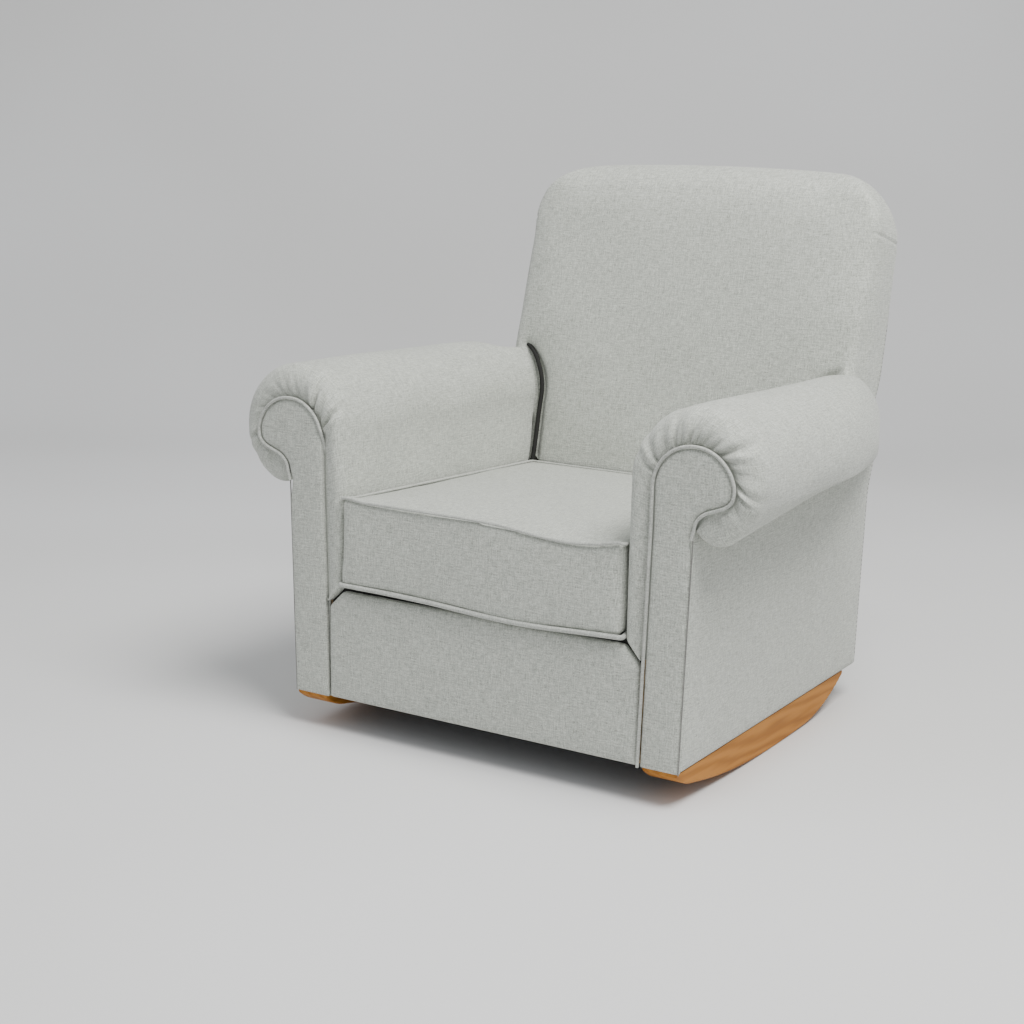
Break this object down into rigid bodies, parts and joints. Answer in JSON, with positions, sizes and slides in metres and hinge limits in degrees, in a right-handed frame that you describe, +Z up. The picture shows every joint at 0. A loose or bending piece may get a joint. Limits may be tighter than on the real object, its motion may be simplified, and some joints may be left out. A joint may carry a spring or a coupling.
{
  "type": "rocking chair",
  "caption": "Upholstered rocking chair with rolled scroll arms, a loose boxed seat cushion, a leaning padded back and curved wooden rockers bolted under the base.",
  "frame": {"origin": "centre of the object's footprint on the floor, with the chair standing level on its rockers", "axes": "+X across the seat to the right of someone facing the chair's front, +Y from the front to the back, +Z up"},
  "size_m": [0.9778, 0.8693, 0.958],
  "materials": {
    "upholstery": "plain basket-weave linen-look upholstery cloth over foam and wadding",
    "piping": "welt cord wrapped in the same cloth cut on the bias",
    "rocker_wood": "honey-brown stained hardwood under satin lacquer",
    "frame_wood": "raw sawn hardwood and plywood, hidden",
    "foam": "upholstery foam, hidden",
    "spring_steel": "bright zinc-plated steel",
    "webbing": "woven elastic webbing, hidden",
    "dust_cloth": "thin black non-woven dust cloth",
    "zip_tape": "closed coil zip on woven tape"
  },
  "bodies": {
    "chair": {"side_rail_left": "frame_wood", "side_rail_right": "frame_wood", "front_rail": "frame_wood", "rear_rail": "frame_wood", "corner_block_front_left": "frame_wood", "corner_block_front_right": "frame_wood", "corner_block_rear_left": "frame_wood", "corner_block_rear_right": "frame_wood", "facing_board_left": "frame_wood", "facing_board_right": "frame_wood", "arm_front_post_left": "frame_wood", "arm_front_post_right": "frame_wood", "arm_rear_post_left": "frame_wood", "arm_rear_post_right": "frame_wood", "arm_rail_left": "frame_wood", "arm_rail_right": "frame_wood", "arm_liner_left": "frame_wood", "arm_liner_right": "frame_wood", "back_stile_left": "frame_wood", "back_stile_right": "frame_wood", "back_top_rail": "frame_wood", "back_lumbar_rail": "frame_wood", "back_bottom_rail": "frame_wood", "deck_rear_rail": "frame_wood", "rocker_left": "rocker_wood", "rocker_right": "rocker_wood", "rocker_bolts": "spring_steel", "rocker_washers": "spring_steel", "tee_nuts": "spring_steel", "seat_springs": "spring_steel", "spring_clips": "spring_steel", "arm_roll_left": "upholstery", "arm_roll_right": "upholstery", "inside_arm_left": "upholstery", "inside_arm_right": "upholstery", "outside_arm_left": "upholstery", "outside_arm_right": "upholstery", "arm_facing_left": "upholstery", "arm_facing_right": "upholstery", "front_border": "upholstery", "inside_back": "upholstery", "back_side_left": "upholstery", "back_side_right": "upholstery", "back_top_border": "upholstery", "outside_back": "upholstery", "arm_welt_left": "piping", "arm_welt_right": "piping", "deck_pad": "foam", "back_webbing": "webbing", "dust_cover": "dust_cloth"},
    "seat_cushion": {"cushion_cover": "upholstery", "cushion_core": "foam", "cushion_welt_top": "piping", "cushion_welt_bottom": "piping", "cushion_zip": "zip_tape"}
  },
  "joints": [
    {"name": "cushion_lift", "type": "slide", "parent": "chair", "child": "seat_cushion", "axis": [0, 0, 1], "range_m": [0, 0.25]}
  ]
}
